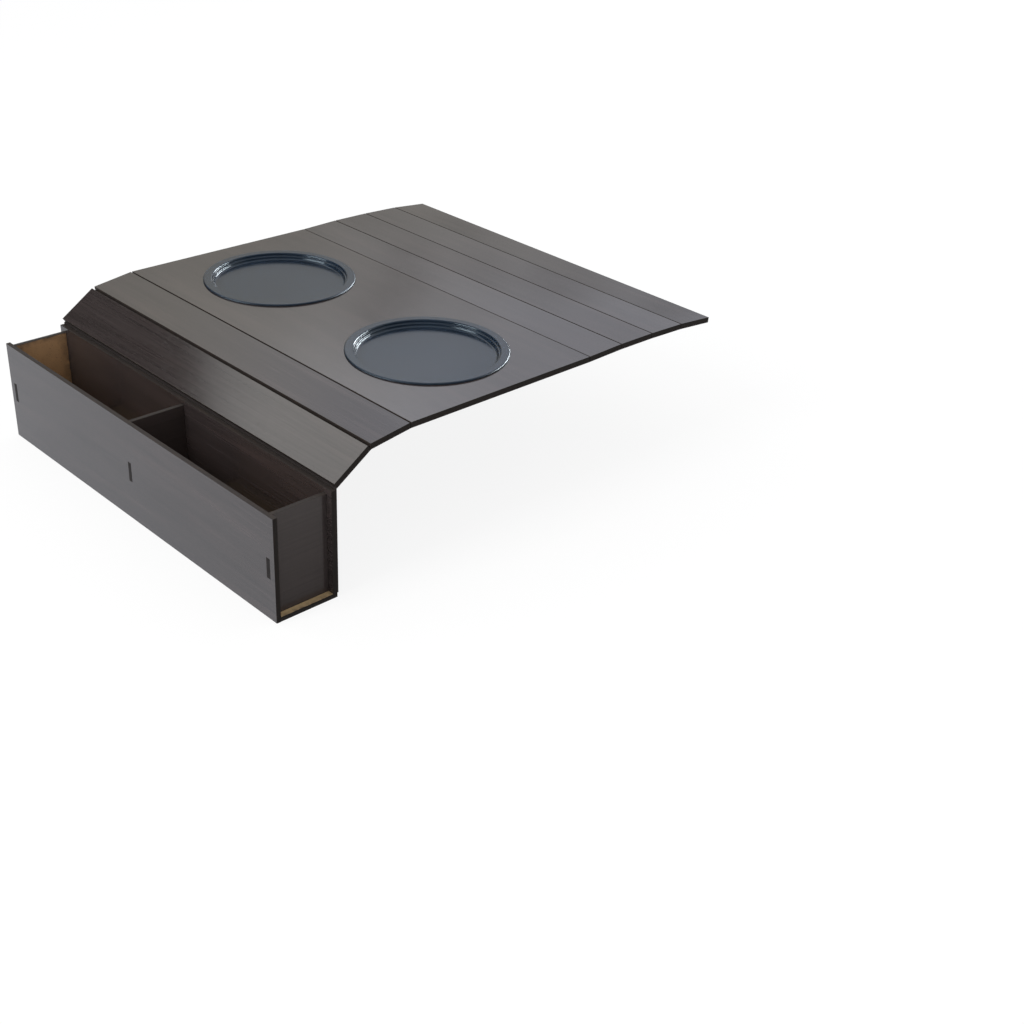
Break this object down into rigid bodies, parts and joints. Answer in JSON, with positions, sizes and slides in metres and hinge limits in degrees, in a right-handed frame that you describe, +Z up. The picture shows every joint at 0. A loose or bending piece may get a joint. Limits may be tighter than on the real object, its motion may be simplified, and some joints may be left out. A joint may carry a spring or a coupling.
{
  "type": "sofa arm tray",
  "caption": "Folding sofa arm tray: a mat of wood-look boards on a cloth backing, with drop-in cup dishes and a divided box that hangs beside the arm.",
  "frame": {"origin": "middle of the underside of the centre plate's backing, where the tray rests on the sofa's arm", "axes": "+X along the slats, -Y towards the hanging box, +Z up"},
  "size_m": [0.3, 0.3646, 0.0975],
  "materials": {
    "dark_laminate": "dark wood-grain laminate, satin gloss, charred cut edges",
    "bare_board": "board with a bare face, matte",
    "backing_cloth": "black felt-like cloth, matte",
    "dish_enamel": "dark blue-grey, satin gloss"
  },
  "bodies": {
    "plate": {"centre_plate": "dark_laminate", "backing_plate": "backing_cloth"},
    "cup_left": {"cup_left": "dish_enamel"},
    "cup_right": {"cup_right": "dish_enamel"},
    "box_side_inner": {"box_side_slat_inner": "dark_laminate", "backing_box_side_inner": "backing_cloth"},
    "box_side_outer": {"box_side_slat_outer": "dark_laminate", "backing_box_side_outer": "backing_cloth"},
    "box": {"box_back": "dark_laminate", "box_front": "dark_laminate", "box_bottom": "bare_board", "box_end_left": "bare_board", "box_end_right": "bare_board", "box_divider": "bare_board", "backing_box": "backing_cloth"},
    "free_side_1": {"free_side_slat_1": "dark_laminate", "backing_free_side_1": "backing_cloth"},
    "free_side_2": {"free_side_slat_2": "dark_laminate", "backing_free_side_2": "backing_cloth"},
    "free_side_3": {"free_side_slat_3": "dark_laminate", "backing_free_side_3": "backing_cloth"},
    "free_side_4": {"free_side_slat_4": "dark_laminate", "backing_free_side_4": "backing_cloth"}
  },
  "joints": [
    {"name": "inner_slat_fold", "type": "hinge", "parent": "plate", "child": "box_side_inner", "pos_m": [0, -0.0743, 0.0004], "axis": [1, 0, 0], "range_deg": [-16, 52]},
    {"name": "outer_slat_fold", "type": "hinge", "parent": "box_side_inner", "child": "box_side_outer", "pos_m": [0, -0.10361, -0.00372], "axis": [1, 0, 0], "range_deg": [-34, 34]},
    {"name": "box_fold", "type": "hinge", "parent": "box_side_outer", "child": "box", "pos_m": [0, -0.12857, -0.02055], "axis": [1, 0, 0], "range_deg": [-56, 34]},
    {"name": "free_side_fold_1", "type": "hinge", "parent": "plate", "child": "free_side_1", "pos_m": [0, 0.0743, 0.0004], "axis": [-1, 0, 0], "range_deg": [-6.5, 61.5]},
    {"name": "free_side_fold_2", "type": "hinge", "parent": "free_side_1", "child": "free_side_2", "pos_m": [0, 0.10389, 0.00118], "axis": [-1, 0, 0], "range_deg": [-10, 58]},
    {"name": "free_side_fold_3", "type": "hinge", "parent": "free_side_2", "child": "free_side_3", "pos_m": [0, 0.13349, 0.00092], "axis": [-1, 0, 0], "range_deg": [-9.5, 58.5]},
    {"name": "free_side_fold_4", "type": "hinge", "parent": "free_side_3", "child": "free_side_4", "pos_m": [0, 0.16307, -0.00012], "axis": [-1, 0, 0], "range_deg": [-11, 57]},
    {"name": "cup_left_lift", "type": "slide", "parent": "plate", "child": "cup_left", "axis": [0, 0, 1], "range_m": [0, 0.02]},
    {"name": "cup_right_lift", "type": "slide", "parent": "plate", "child": "cup_right", "axis": [0, 0, 1], "range_m": [0, 0.02]}
  ]
}
